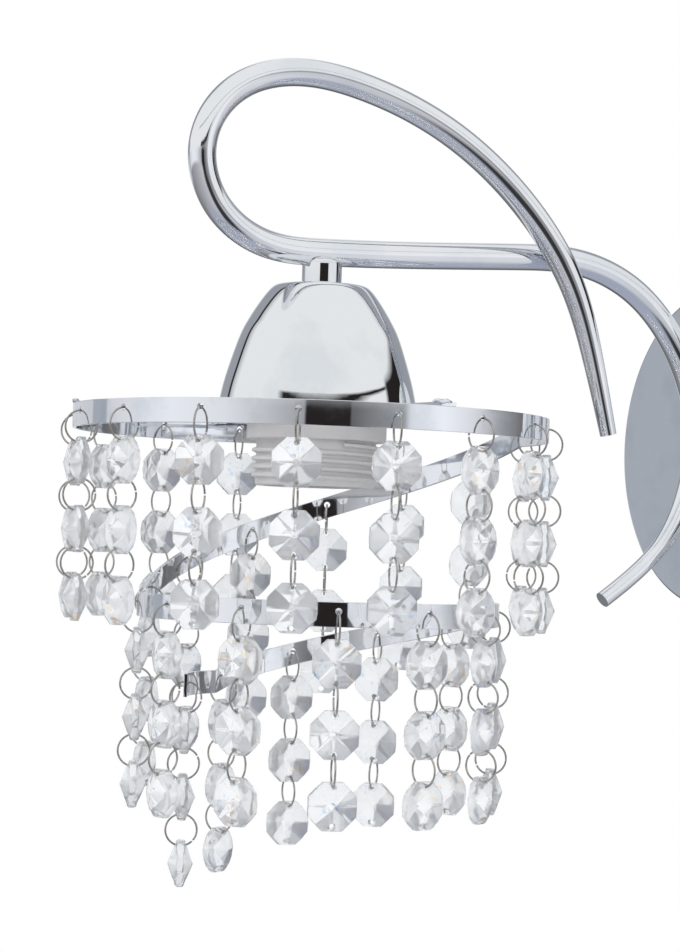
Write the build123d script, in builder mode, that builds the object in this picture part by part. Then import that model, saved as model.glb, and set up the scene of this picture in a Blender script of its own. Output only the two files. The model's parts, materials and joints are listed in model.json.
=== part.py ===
"""Crystal wall sconce: canopy on the wall, one bent tube, lampholder under a bell,
and a spiral strip hung with crystal strands.

Frame: origin at the centre of the canopy's back face on the wall, +Z up,
the lamp hangs out along -Y. Units are millimetres.
"""

import os
from math import cos, pi, radians, sin

from build123d import *

os.makedirs("parts", exist_ok=True)

# ---- driving dimensions -------------------------------------------------
slack = 0.05                    # radial clearance of every loose fit

canopy_radius = 53.2
canopy_depth = 22.0
canopy_wall = 1.2
canopy_edge = 1.2

arm_reach = 145.7               # canopy face to lamp axis
tube_radius = 4.3
tube_wall = 0.9
tube_end_radius = 2.7
taper_length = 58.0
tail_taper_from = 14.0
tail_taper_length = 24.0
boss_gap = 1.0                  # canopy face to tube

thread_radius = 5.0             # M10 x 1 all-thread of lighting fittings
thread_bore = 3.6
lead_hole_radius = 2.9
nut_flats = 15.0
nut_height = 4.0
washer_radius = 8.5
washer_height = 1.0
boss_radius = 7.0
boss_spare = 2.5                # thread past the nut

bar_gap = 2.0                   # crossbar's ear to the canopy's wall
bar_width = 16.0
bar_height = 2.0
bar_ear = 13.0
slot_spacing = 60.0
slot_length = 14.0
slot_width = 5.0
side_screw_radius = 2.0
side_screw_head = 3.6
side_screw_y = -9.0
side_screw_spare = 2.0          # thread past the ear
screw_head_height = 2.2
driver_slot = 0.8

block_width = 24.0
block_height = 16.0
block_depth = 12.0
block_z = 15.0
pole_pitch = 8.0
sleeve_radius = 2.4
sleeve_bore = 1.4
pole_screw_radius = 1.3
pole_screw_recess = 1.0
pole_screw_slot = 0.5
sleeve_recess = 1.0

lead_radius = 1.1
lead_spacing = 2.7
lead_bend = 3.4
lead_strip = 4.0                # length inside a terminal
earth_bend = 5.0
earth_x = 17.0
earth_screw_radius = 2.0
earth_head_radius = 3.5
earth_lug_radius = 3.6
lug_thickness = 0.8
lug_tail_width = 3.0
lug_tail_top = 8.0

strip_level = -3.3              # bottom edge of the upper loop
strip_height = 7.2
strip_thickness = 1.2
strip_hole_radius = 1.0
strip_hole_rise = 4.5
upper_loop_radius = 72.3
lower_loop_radius = 55.0
strip_end_radius = 37.5
upper_loop_shift = -1.9         # loop centres, measured from the lamp axis along Y
lower_loop_shift = 2.5
strip_start = -191.3            # polar angle of the strip's first end
upper_sweep = 278.4
first_drop_sweep = 147.1
lower_sweep = 208.5
second_drop_sweep = 123.0
end_sweep = 43.0
first_drop = 56.5
second_drop = 24.5

strand_pitch = 28.43            # along the strip
drop_strand_pitch = 27.1        # along its first drop
strand_inset = 6.3              # first hole from the strip's end

crystal_flats = 14.0
crystal_apex = 8.0              # thickness at the centre
crystal_corner = 1.6            # thickness at the corners
crystal_holes = 11.0            # hole to hole
crystal_hole_radius = 0.9
crystals_per_strand = 3
ring_radius = 4.825             # to the middle of the wire
ring_wire = 0.4
ring_seat = 0.19                # how far the wire sits off the hole's centre

post_radius = 6.15
post_top = 51.8
post_rounding = 2.2
post_socket = 5.0
socket_gap = 0.2
nut_gap = 0.4
bell_top = 43.3
bell_wall = 0.8
cap_top = 37.0
flange_top = 3.9
flange_bottom = -4.7
holder_radius = 21.5
holder_thread_radius = 19.75
holder_root_radius = 18.4
holder_thread_top = -5.9
holder_thread_pitch = 2.52
tooth_count = 4
tooth_flank = 0.8
tooth_crest = 0.8
holder_bottom = -18.8
holder_bore = 15.6
lamp_thread_radius = 13.3
lamp_thread_length = 14.0
shell_neck_radius = 12.6
shell_neck_length = 5.0
contact_plate_z = 17.0
contact_plate_height = 5.0
shell_wall = 0.4
plate_step = 0.5
wire_hole_radius = 0.8
wire_hole_depth = 2.0
contact_hole_radius = 7.0
contact_length = 9.0
contact_width = 4.0
contact_wall = 0.5
contact_drop = 5.0
cap_radius = 18.0
cap_wall = 2.2
cap_straight_top = 20.0
cap_cavity_top = 24.0
cap_slope = (13.0, 3.0)         # radius, and how far below the top
cap_neck_radius = 9.0
cap_rounding = 1.0
cap_tunnel_radius = 8.0
cap_tunnel_roof = 5.5
ring_nut_radius = 23.0
ring_nut_height = 5.0
ring_nut_chamfer = 0.8
spider_thickness = 1.2
spider_ring_radius = 28.0
spoke_width = 5.0

lamp_y = -(canopy_depth + arm_reach)
face_y = -canopy_depth
boss_y = face_y - boss_gap - tube_radius
centre_low = (Align.CENTER, Align.CENTER, Align.MIN)


def save(part, name):
    part.label = name
    export_step(part, f"parts/{name}.step")


def polar(radius, angle, z=0.0, centre_y=lamp_y):
    return Vector(radius * cos(radians(angle)), centre_y + radius * sin(radians(angle)), z)


# ---- the arm's centreline ------------------------------------------------
# Read from the photograph: x is the helical rise, y from the canopy face, z.
arm_points = [
    (11.0, -47.1, 1.8),
    (11.0, -53.5, 24.9),
    (10.5, -62.7, 50.0),
    (9.0, -80.8, 74.4),
    (7.0, -109.2, 95.2),
    (5.2, -136.5, 105.1),
    (3.8, -159.8, 107.1),
    (2.3, -178.3, 99.8),
    (1.2, -187.3, 84.0),
    (0.4, -182.5, 66.0),
    (0.0, -165.9, 54.9),
    (0.0, -arm_reach, 53.5),
    (0.0, -111.3, 55.3),
    (0.0, -75.0, 57.8),
    (0.0, -56.0, 58.0),
    (0.0, -32.5, 50.3),
    (0.0, -14.0, 31.0),
    (0.0, -boss_gap - tube_radius, 0.0),
    (0.0, -17.5, -31.9),
    (0.0, -40.5, -51.4),
]
arm_knots = [Vector(x, face_y + y, z) for x, y, z in arm_points]
arm_line = Edge.make_spline(arm_knots)


def arm_at(target, low, high):
    """Parameter of the centreline nearest to a point, between two parameters."""
    for _ in range(60):
        third = (high - low) / 3
        near = (arm_line @ (low + third) - target).length
        far = (arm_line @ (high - third) - target).length
        if near < far:
            high = high - third
        else:
            low = low + third
    return (low + high) / 2


boss_u = arm_at(Vector(0, boss_y, 0), 0.75, 0.99)
post_u = arm_at(arm_knots[11], 0.35, 0.70)
taper_u = taper_length / arm_line.length
tail_start_u = boss_u + tail_taper_from / arm_line.length
tail_end_u = tail_start_u + tail_taper_length / arm_line.length


def tube_bar(inset):
    """Round bar along the centreline, thinned towards both open ends."""
    full = tube_radius - inset
    thin = tube_end_radius - inset
    stops = [0, taper_u, tail_start_u, tail_end_u, 1]
    radii = [thin, full, full, thin, thin]
    with BuildPart() as bar:
        for i in range(len(stops) - 1):
            run = arm_line.trim(stops[i], stops[i + 1])
            with BuildSketch(Plane(origin=run @ 0, z_dir=run % 0)):
                Circle(radii[i])
            with BuildSketch(Plane(origin=run @ 1, z_dir=run % 1)):
                Circle(radii[i + 1])
            sweep(path=run, multisection=True)
    return bar.part


arm_outer = tube_bar(0)
arm_inner = tube_bar(tube_wall)

# ---- canopy --------------------------------------------------------------
wall_plane = Plane(origin=(0, 0, 0), x_dir=(1, 0, 0), z_dir=(0, -1, 0))

with BuildPart() as wall_canopy:
    with BuildSketch(wall_plane):
        Circle(canopy_radius)
    extrude(amount=canopy_depth)
    fillet(wall_canopy.edges().sort_by(Axis.Y)[0], canopy_edge)
    with BuildSketch(wall_plane):
        Circle(canopy_radius - canopy_wall)
    extrude(amount=canopy_depth - canopy_wall, mode=Mode.SUBTRACT)
    with BuildSketch(wall_plane):
        Circle(thread_radius + 2 * slack)
    extrude(amount=canopy_depth, mode=Mode.SUBTRACT)
    with Locations(Location((0, side_screw_y, 0), (0, 90, 0))):
        Cylinder(side_screw_radius + 4 * slack, 3 * canopy_radius, mode=Mode.SUBTRACT)
save(wall_canopy.part, "wall_canopy")

ear_x = canopy_radius - canopy_wall - bar_gap
with BuildPart() as crossbar:
    with BuildSketch(wall_plane):
        Rectangle(2 * ear_x, bar_width)
        with Locations((0, (block_z + block_height) / 2)):
            Rectangle(block_width, block_z + block_height)
        with Locations((slot_spacing / 2, 0), (-slot_spacing / 2, 0)):
            SlotOverall(slot_length, slot_width, mode=Mode.SUBTRACT)
    extrude(amount=bar_height)
    for side in (-1, 1):
        with Locations((side * (ear_x - bar_height / 2), -bar_ear / 2, 0)):
            Box(bar_height, bar_ear, bar_width)
    with Locations(Location((0, side_screw_y, 0), (0, 90, 0))):
        Cylinder(side_screw_radius + slack / 2, 3 * ear_x, mode=Mode.SUBTRACT)
    with Locations(Location((earth_x, 0, 0), (90, 0, 0))):
        Cylinder(earth_screw_radius + slack / 2, 4 * bar_height, mode=Mode.SUBTRACT)
save(crossbar.part, "crossbar")

with BuildPart() as canopy_screws:
    for side in (-1, 1):
        outside = Plane(
            origin=(side * canopy_radius, side_screw_y, 0),
            x_dir=(0, 1, 0),
            z_dir=(side, 0, 0),
        )
        with BuildSketch(outside):
            Circle(side_screw_head)
        extrude(amount=screw_head_height)
        with BuildSketch(outside.offset(screw_head_height)):
            Rectangle(driver_slot, 3 * side_screw_head)
        extrude(amount=-driver_slot, mode=Mode.SUBTRACT)
        with BuildSketch(outside):
            Circle(side_screw_radius)
        extrude(amount=-(canopy_radius - ear_x + bar_height + side_screw_spare))
save(canopy_screws.part, "canopy_screws")

# ---- terminal block and earth ---------------------------------------------
block_y = -bar_height - block_depth / 2
pole_xs = [-pole_pitch, 0, pole_pitch]
screw_zs = [block_z + 0.28 * block_height, block_z + 0.72 * block_height]

with BuildPart() as terminal_block:
    with Locations((0, block_y, block_z + block_height / 2)):
        Box(block_width, block_depth, block_height)
    with Locations(*[(x, block_y, block_z) for x in pole_xs]):
        Cylinder(sleeve_radius, block_height, align=centre_low, mode=Mode.SUBTRACT)
    for x in pole_xs:
        for z in screw_zs:
            with Locations(Location((x, block_y, z), (90, 0, 0))):
                Cylinder(pole_screw_radius + slack, block_depth, align=centre_low, mode=Mode.SUBTRACT)
save(terminal_block.part, "terminal_block")

with BuildPart() as terminal_sleeves:
    with Locations(*[(x, block_y, block_z + sleeve_recess) for x in pole_xs]):
        Cylinder(sleeve_radius, block_height - 2 * sleeve_recess, align=centre_low)
    with Locations(*[(x, block_y, block_z) for x in pole_xs]):
        Cylinder(sleeve_bore, block_height, align=centre_low, mode=Mode.SUBTRACT)
    for x in pole_xs:
        for z in screw_zs:
            with Locations(Location((x, block_y, z), (90, 0, 0))):
                Cylinder(pole_screw_radius, block_depth, align=centre_low, mode=Mode.SUBTRACT)
save(terminal_sleeves.part, "terminal_sleeves")

with BuildPart() as terminal_screws:
    for x in pole_xs:
        for z in screw_zs:
            with BuildSketch(Plane(origin=(x, block_y - sleeve_bore, z), z_dir=(0, -1, 0))):
                Circle(pole_screw_radius)
            extrude(amount=block_depth / 2 - sleeve_bore - pole_screw_recess)
            with Locations((x, block_y - block_depth / 2 + pole_screw_recess, z)):
                Box(pole_screw_slot, 2 * pole_screw_slot, 3 * pole_screw_radius, mode=Mode.SUBTRACT)
save(terminal_screws.part, "terminal_screws")

with BuildPart() as earth_lug:
    with BuildSketch(wall_plane.offset(bar_height)):
        with Locations((earth_x, 0)):
            Circle(earth_lug_radius)
        with Locations((earth_x, lug_tail_top / 2)):
            Rectangle(lug_tail_width, lug_tail_top)
        with Locations((earth_x, 0)):
            Circle(earth_screw_radius + slack, mode=Mode.SUBTRACT)
    extrude(amount=lug_thickness)
save(earth_lug.part, "earth_lug")

with BuildPart() as earth_screw:
    with BuildSketch(wall_plane.offset(bar_height + lug_thickness)):
        with Locations((earth_x, 0)):
            Circle(earth_head_radius)
    extrude(amount=screw_head_height)
    with BuildSketch(wall_plane.offset(bar_height + lug_thickness + screw_head_height)):
        with Locations((earth_x, 0)):
            Rectangle(3 * earth_head_radius, driver_slot)
    extrude(amount=-driver_slot, mode=Mode.SUBTRACT)
    with BuildSketch(wall_plane):
        with Locations((earth_x, 0)):
            Circle(earth_screw_radius)
    extrude(amount=bar_height + lug_thickness)
save(earth_screw.part, "earth_screw")

# ---- arm tube, its boss and nut --------------------------------------------
boss_end_y = face_y + canopy_wall + washer_height + nut_height + boss_spare

with BuildPart() as arm_tube:
    add(arm_outer)
    add(arm_inner, mode=Mode.SUBTRACT)
    with Locations(Location((0, boss_y, 0), (-90, 0, 0))):
        Cylinder(lead_hole_radius, 4 * tube_radius, align=centre_low, mode=Mode.SUBTRACT)
    with Locations((0, lamp_y, (arm_line @ post_u).Z)):
        Cylinder(
            lead_hole_radius,
            4 * tube_radius,
            align=(Align.CENTER, Align.CENTER, Align.MAX),
            mode=Mode.SUBTRACT,
        )
save(arm_tube.part, "arm_tube")

nut_plane = Plane(origin=(0, face_y + canopy_wall + washer_height, 0), z_dir=(0, 1, 0))
with BuildPart() as arm_boss:
    with BuildSketch(Plane(origin=(0, boss_y, 0), z_dir=(0, 1, 0))):
        Circle(boss_radius)
    extrude(amount=face_y - boss_y)
    with BuildSketch(Plane(origin=(0, face_y, 0), z_dir=(0, 1, 0))):
        Circle(thread_radius)
    extrude(amount=boss_end_y - face_y)
    with BuildSketch(Plane(origin=(0, boss_y, 0), z_dir=(0, 1, 0))):
        Circle(thread_bore)
    extrude(amount=boss_end_y - boss_y, mode=Mode.SUBTRACT)
    add(arm_outer, mode=Mode.SUBTRACT)
save(arm_boss.part, "arm_boss")

with BuildPart() as arm_washer:
    with BuildSketch(Plane(origin=(0, face_y + canopy_wall, 0), z_dir=(0, 1, 0))):
        Circle(washer_radius)
        Circle(thread_radius + slack, mode=Mode.SUBTRACT)
    extrude(amount=washer_height)
save(arm_washer.part, "arm_washer")

with BuildPart() as arm_nut:
    with BuildSketch(nut_plane):
        RegularPolygon(nut_flats / 2, 6, major_radius=False)
        Circle(thread_radius + slack / 2, mode=Mode.SUBTRACT)
    extrude(amount=nut_height)
save(arm_nut.part, "arm_nut")

# ---- post, nipple and bell --------------------------------------------------
with BuildPart() as lamp_post:
    with Locations((0, lamp_y, bell_top)):
        Cylinder(post_radius, post_top - bell_top, align=centre_low)
    fillet(lamp_post.edges().group_by(Axis.Z)[-1], post_rounding)
    with Locations((0, lamp_y, bell_top)):
        Cylinder(lead_hole_radius, post_top - bell_top, align=centre_low, mode=Mode.SUBTRACT)
        Cylinder(thread_radius + slack / 2, post_socket, align=centre_low, mode=Mode.SUBTRACT)
    add(arm_outer, mode=Mode.SUBTRACT)
save(lamp_post.part, "lamp_post")

nipple_bottom = cap_top - post_socket
nipple_length = bell_top + post_socket - socket_gap - nipple_bottom
with BuildPart() as lamp_nipple:
    with Locations((0, lamp_y, nipple_bottom)):
        Cylinder(thread_radius, nipple_length, align=centre_low)
        Cylinder(thread_bore, nipple_length, align=centre_low, mode=Mode.SUBTRACT)
save(lamp_nipple.part, "lamp_nipple")

with BuildPart() as bell_nut:
    with BuildSketch(Plane(origin=(0, lamp_y, cap_top + nut_gap))):
        RegularPolygon(nut_flats / 2, 6, major_radius=False)
        Circle(thread_radius + slack / 2, mode=Mode.SUBTRACT)
    extrude(amount=bell_top - bell_wall - cap_top - nut_gap)
save(bell_nut.part, "bell_nut")

bell_shoulder = 12.4
bell_rim = 5.4
bell_outline = [(14.9, 42.4), (18.0, 38.7), (21.9, 32.5), (24.8, 26.4), (28.7, 14.1), (30.6, bell_rim)]


def bell_solid(inset):
    """The bell's outside, moved in and down by the wall for its inside."""
    top = bell_top - inset
    rim = bell_rim - inset
    shoulder = (bell_shoulder - inset, top)
    curve = [(r - inset, z - inset) for r, z in bell_outline]
    with BuildPart() as bell:
        with BuildSketch(Plane(origin=(0, lamp_y, 0), x_dir=(1, 0, 0), z_dir=(0, -1, 0))):
            with BuildLine():
                Line((0, top), shoulder)
                Spline(shoulder, *curve)
                Line(curve[-1], (0, rim))
                Line((0, rim), (0, top))
            make_face()
        revolve(axis=Axis((0, lamp_y, 0), (0, 0, 1)))
    return bell.part


with BuildPart() as bell_cup:
    add(bell_solid(0))
    add(bell_solid(bell_wall), mode=Mode.SUBTRACT)
    with Locations((0, lamp_y, bell_top)):
        Cylinder(thread_radius + 2 * slack, 4 * bell_wall, mode=Mode.SUBTRACT)
save(bell_cup.part, "bell_cup")

# ---- lampholder ---------------------------------------------------------------
holder_plane = Plane(origin=(0, lamp_y, 0), x_dir=(1, 0, 0), z_dir=(0, -1, 0))
holder_axis = Axis((0, lamp_y, 0), (0, 0, 1))
spider_bottom = strip_level + strip_height

with BuildPart() as lampholder_cap:
    with BuildSketch(holder_plane):
        with BuildLine():
            Polyline(
                (0, flange_bottom),
                (holder_radius, flange_bottom),
                (holder_radius, spider_bottom),
                (cap_radius, spider_bottom),
                (cap_radius, cap_straight_top),
                (cap_slope[0], cap_top - cap_slope[1]),
                (cap_neck_radius, cap_top),
                (0, cap_top),
                (0, flange_bottom),
            )
        make_face()
    revolve(axis=holder_axis)
    fillet(lampholder_cap.edges().filter_by(GeomType.CIRCLE).group_by(Axis.Z)[-1], cap_rounding)
    for hole_radius, hole_top in (
        (cap_radius - cap_wall, cap_cavity_top),
        (cap_tunnel_radius, cap_top - cap_tunnel_roof),
        (thread_radius + slack / 2, cap_top),
    ):
        with Locations((0, lamp_y, flange_bottom)):
            Cylinder(hole_radius, hole_top - flange_bottom, align=centre_low, mode=Mode.SUBTRACT)
save(lampholder_cap.part, "lampholder_cap")

tooth_foot = holder_root_radius - slack
with BuildPart() as lampholder_skirt:
    with BuildSketch(holder_plane):
        with BuildLine():
            Polyline(
                (holder_bore, holder_bottom),
                (holder_root_radius, holder_bottom),
                (holder_root_radius, flange_bottom),
                (holder_bore, flange_bottom),
                (holder_bore, holder_bottom),
            )
        make_face()
        for tooth in range(tooth_count):
            root_z = holder_thread_top - tooth * holder_thread_pitch
            crest_z = root_z - tooth_flank
            end_z = crest_z - tooth_crest - tooth_flank
            with BuildLine():
                Polyline(
                    (tooth_foot, root_z),
                    (holder_root_radius, root_z),
                    (holder_thread_radius, crest_z),
                    (holder_thread_radius, crest_z - tooth_crest),
                    (holder_root_radius, end_z),
                    (tooth_foot, end_z),
                    (tooth_foot, root_z),
                )
            make_face()
    revolve(axis=holder_axis)
save(lampholder_skirt.part, "lampholder_skirt")

shell_top = contact_plate_z - plate_step
thread_top = shell_top - shell_neck_length
shell_bottom = thread_top - lamp_thread_length
plate_top = contact_plate_z + contact_plate_height
with BuildPart() as contact_plate:
    with Locations((0, lamp_y, contact_plate_z)):
        Cylinder(cap_radius - cap_wall - slack, contact_plate_height, align=centre_low)
    with Locations(*[(side * lead_spacing, lamp_y, plate_top) for side in (-1, 1)]):
        Cylinder(wire_hole_radius, 2 * wire_hole_depth, mode=Mode.SUBTRACT)
    with Locations((0, lamp_y, shell_top)):
        Cylinder(cap_radius - cap_wall - slack, plate_step, align=centre_low)
        Cylinder(lamp_thread_radius + shell_wall, plate_step, align=centre_low, mode=Mode.SUBTRACT)
save(contact_plate.part, "contact_plate")

with BuildPart() as lamp_shell:
    with Locations((0, lamp_y, shell_bottom)):
        Cylinder(lamp_thread_radius + shell_wall, contact_plate_z - shell_bottom, align=centre_low)
        Cylinder(lamp_thread_radius, lamp_thread_length, align=centre_low, mode=Mode.SUBTRACT)
    with Locations((0, lamp_y, thread_top)):
        Cylinder(shell_neck_radius, shell_neck_length, align=centre_low, mode=Mode.SUBTRACT)
    with Locations((0, lamp_y, shell_top)):
        Cylinder(contact_hole_radius, plate_step, align=centre_low, mode=Mode.SUBTRACT)
save(lamp_shell.part, "lamp_shell")

with BuildPart() as centre_contact:
    with BuildSketch(holder_plane):
        with Locations((0, contact_plate_z - contact_wall / 2)):
            Rectangle(contact_length, contact_wall)
        with Locations(((contact_length - contact_wall) / 2, contact_plate_z - contact_drop / 2)):
            Rectangle(contact_wall, contact_drop)
        with Locations((contact_wall, contact_plate_z - contact_drop + contact_wall / 2)):
            Rectangle(contact_length - 2 * contact_wall, contact_wall)
    extrude(amount=contact_width / 2, both=True)
save(centre_contact.part, "centre_contact")

# ---- spider: ring under the bell and three spokes to the strip -----------------
spoke_angles = [5.0, 125.0, 245.0]
with BuildPart() as spider:
    with BuildSketch(Plane(origin=(0, lamp_y, spider_bottom))):
        Circle(spider_ring_radius)
        for angle in spoke_angles:
            reach = upper_loop_radius + upper_loop_shift * sin(radians(angle)) + strip_thickness / 2
            with Locations(Location((0, 0, 0), (0, 0, angle))):
                with Locations((reach / 2, 0)):
                    Rectangle(reach, spoke_width)
        Circle(cap_radius + slack, mode=Mode.SUBTRACT)
    extrude(amount=spider_thickness)
save(spider.part, "spider")

with BuildPart() as ring_nut:
    with Locations((0, lamp_y, spider_bottom + spider_thickness)):
        Cylinder(ring_nut_radius, ring_nut_height, align=centre_low)
        Cylinder(cap_radius + slack, ring_nut_height, align=centre_low, mode=Mode.SUBTRACT)
    chamfer(ring_nut.edges().group_by(Axis.Z)[-1].sort_by(SortBy.RADIUS)[-1:], ring_nut_chamfer)
save(ring_nut.part, "ring_nut")

# ---- leads ---------------------------------------------------------------------
lead_top = (arm_line @ post_u).Z
clear_of_bend = 1.0


def along_arm(offset_x):
    """Points on the centreline between the post and the boss, moved sideways."""
    first = arm_at(Vector(0, lamp_y + lead_bend, lead_top), post_u, boss_u)
    last = arm_at(Vector(0, boss_y, lead_bend + clear_of_bend), post_u, boss_u)
    count = 26
    steps = [first + (last - first) * i / count for i in range(count + 1)]
    moved = [arm_line @ u + Vector(offset_x, 0, 0) for u in steps]
    return moved, arm_line % first, arm_line % last


def lead(side):
    x = side * lead_spacing / 2
    moved, start_dir, end_dir = along_arm(x)
    terminal_x = side * pole_pitch
    low = Vector(side * lead_spacing, lamp_y, plate_top)
    riser = Vector(x, lamp_y, nipple_bottom - clear_of_bend)
    turn = Vector(x, lamp_y, lead_top - lead_bend)
    inlet = Vector(x, boss_y + lead_bend, 0)
    outlet = Vector(x, boss_end_y + clear_of_bend, 0)
    climb = Vector(x, block_y, block_y - outlet.Y)
    entry = Vector(terminal_x, block_y, block_z)
    pieces = [
        Edge.make_spline([low, riser], tangents=[(0, 0, 1), (0, 0, 1)]),
        Edge.make_line(riser, turn),
        Edge.make_spline([turn, moved[0]], tangents=[(0, 0, 1), start_dir]),
        Edge.make_spline(moved, tangents=[start_dir, end_dir]),
        Edge.make_spline([moved[-1], inlet], tangents=[end_dir, (0, 1, 0)]),
        Edge.make_line(inlet, outlet),
        Edge.make_spline([outlet, climb], tangents=[(0, 1, 0), (0, 0, 1)]),
        Edge.make_spline([climb, entry], tangents=[(0, 0, 1), (0, 0, 1)]),
        Edge.make_line(entry, entry + Vector(0, 0, lead_strip)),
    ]
    path = Wire(pieces)
    with BuildPart() as result:
        with BuildSketch(Plane(origin=low, z_dir=(0, 0, 1))):
            Circle(lead_radius)
        sweep(path=path)
    return result.part


save(lead(-1), "live_lead")
save(lead(1), "neutral_lead")

earth_y = -bar_height - lug_thickness - lead_radius
earth_over_z = block_z + block_height + 2 * earth_bend
earth_route = [
    (0, block_y, block_z + block_height - lead_strip),
    (0, block_y, earth_over_z),
    (earth_x, earth_y, earth_over_z),
    (earth_x, earth_y, earth_head_radius + clear_of_bend),
]
with BuildPart() as earth_lead:
    with BuildLine():
        FilletPolyline(*earth_route, radius=earth_bend)
    with BuildSketch(Plane(origin=earth_route[0])):
        Circle(lead_radius)
    sweep()
save(earth_lead.part, "earth_lead")

# ---- spiral strip --------------------------------------------------------------
sweeps = [upper_sweep, first_drop_sweep, lower_sweep, second_drop_sweep, end_sweep]
total_sweep = sum(sweeps)


def strip_at(turned):
    """Radius, centre shift and bottom height after a turn from the first end."""
    corners = [
        (0.0, upper_loop_radius, upper_loop_shift, 0.0),
        (upper_sweep, upper_loop_radius, upper_loop_shift, 0.0),
        (first_drop_sweep, lower_loop_radius, lower_loop_shift, first_drop),
        (lower_sweep, lower_loop_radius, lower_loop_shift, first_drop),
        (second_drop_sweep, strip_end_radius, 0.0, first_drop + second_drop),
        (end_sweep, strip_end_radius, 0.0, first_drop + second_drop),
    ]
    begin = 0.0
    for before, after in zip(corners, corners[1:]):
        part = (turned - begin) / after[0]
        if part <= 1.0 or after is corners[-1]:
            radius = before[1] + (after[1] - before[1]) * part
            shift = before[2] + (after[2] - before[2]) * part
            drop = before[3] + (after[3] - before[3]) * part
            return radius, shift, strip_level - drop
        begin = begin + after[0]


def strip_point(turned, outward=0.0, up=0.0):
    radius, shift, bottom = strip_at(turned)
    return polar(radius + outward, strip_start + turned, bottom + up, lamp_y + shift)


def level_loop(begin, swept):
    radius, shift, bottom = strip_at(begin + 0.5 * swept)
    angle = strip_start + begin
    outward = Vector(cos(radians(angle)), sin(radians(angle)), 0)
    ahead = Vector(-sin(radians(angle)), cos(radians(angle)), 0)
    start = polar(radius, angle, bottom, lamp_y + shift)
    with BuildPart() as loop:
        with BuildSketch(Plane(origin=start, x_dir=outward, z_dir=-1 * ahead)):
            Rectangle(strip_thickness, strip_height, align=(Align.CENTER, Align.MIN))
        revolve(axis=Axis((0, lamp_y + shift, 0), (0, 0, 1)), revolution_arc=swept)
    return loop.part


def dropping_run(begin, swept):
    """Strip that falls while it turns, closed from ruled faces."""
    half = strip_thickness / 2
    count = 24
    turns = [begin + swept * i / count for i in range(count + 1)]
    rails = []
    for outward, up in ((-half, 0), (half, 0), (half, strip_height), (-half, strip_height)):
        rails.append(Edge.make_spline([strip_point(t, outward, up) for t in turns]))
    faces = [Face.make_surface_from_curves(a, b) for a, b in zip(rails, rails[1:] + rails[:1])]
    for end in (0, 1):
        faces.append(Face(Wire.make_polygon([rail @ end for rail in rails])))
    return Solid(Shell(faces))


def strand_turns():
    """Turns at which the strip carries a hole, one pitch apart along it."""
    step = 0.25
    travelled = 0.0
    wanted = strand_inset
    found = []
    turned = 0.0
    while turned < total_sweep:
        here = strip_point(turned)
        travelled = travelled + (strip_point(turned + step) - here).length
        turned = turned + step
        if travelled >= wanted:
            found.append(turned)
            falling = upper_sweep < turned < upper_sweep + first_drop_sweep
            wanted = wanted + (drop_strand_pitch if falling else strand_pitch)
    return found


strand_places = []
for turned in strand_turns():
    hole = strip_point(turned, up=strip_hole_rise)
    ahead = strip_point(turned + 0.5) - strip_point(turned - 0.5)
    ahead = Vector(ahead.X, ahead.Y, 0).normalized()
    strand_places.append(Plane(origin=hole, x_dir=ahead, z_dir=(0, 0, 1)))

with BuildPart() as spiral_strip:
    begin = 0.0
    for index, swept in enumerate(sweeps):
        if index in (1, 3):
            add(dropping_run(begin, swept))
        else:
            add(level_loop(begin, swept))
        begin = begin + swept
    for place in strand_places:
        with Locations(place.location * Location((0, 0, 0), (90, 0, 0))):
            Cylinder(strip_hole_radius, 6 * strip_thickness, mode=Mode.SUBTRACT)
save(spiral_strip.part, "spiral_strip")

# ---- crystals and rings ----------------------------------------------------------
# Local frame of a strand: origin at its strip hole, X along the strip, Z up.
corner_radius = crystal_flats / 2 / cos(pi / 8)
facet_slope = (crystal_apex - crystal_corner) / 2 / corner_radius
middle_half = crystal_apex / 2 - facet_slope * crystal_flats / 2 * cos(pi / 8)


def outline(radius, eighth, y):
    return Vector(radius * cos(eighth * pi / 4), y, radius * sin(eighth * pi / 4))


def crystal_solid():
    faces = []
    for i in range(8):
        before = i - 0.5
        after = i + 0.5
        corners = []
        for y in (-1, 1):
            apex = Vector(0, y * crystal_apex / 2, 0)
            middle = outline(crystal_flats / 2, i, y * middle_half)
            corner = outline(corner_radius, after, y * crystal_corner / 2)
            following = outline(crystal_flats / 2, i + 1, y * middle_half)
            faces.append(Face(Wire.make_polygon([apex, middle, corner, following])))
            earlier = outline(corner_radius, before, y * crystal_corner / 2)
            row = [earlier, middle, corner]
            corners = corners + (row if y < 0 else row[::-1])
        faces.append(Face(Wire.make_polygon(corners)))
    return Solid(Shell(faces))


with BuildPart() as crystal:
    add(crystal_solid())
    for rise in (-crystal_holes / 2, crystal_holes / 2):
        with Locations(Location((0, 0, rise), (90, 0, 0))):
            Cylinder(crystal_hole_radius, 2 * crystal_apex, mode=Mode.SUBTRACT)

with BuildPart() as jump_ring:
    Torus(ring_radius, ring_wire, rotation=(0, 90, 0))

crystal_pitch = 2 * ring_radius + crystal_holes - 2 * ring_seat
for index, place in enumerate(strand_places):
    with BuildPart() as strand:
        for step in range(crystals_per_strand):
            ring_z = -ring_radius - step * crystal_pitch
            crystal_z = ring_z - ring_radius + ring_seat - crystal_holes / 2
            with Locations(place.location * Location((0, 0, ring_z))):
                add(jump_ring.part)
            with Locations(place.location * Location((0, 0, crystal_z))):
                add(crystal.part)
    save(strand.part, f"strand_{index + 1:02d}")
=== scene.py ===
# Crystal wall sconce: chrome arm and bell over a spiral strip hung with cut glass strands.
# Metres, origin at the centre of the canopy's back on the wall, lamp out along -Y.
import json
import random
from math import atan2, cos, pi, radians, sin
import bpy
from mathutils import Matrix, Vector


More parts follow.
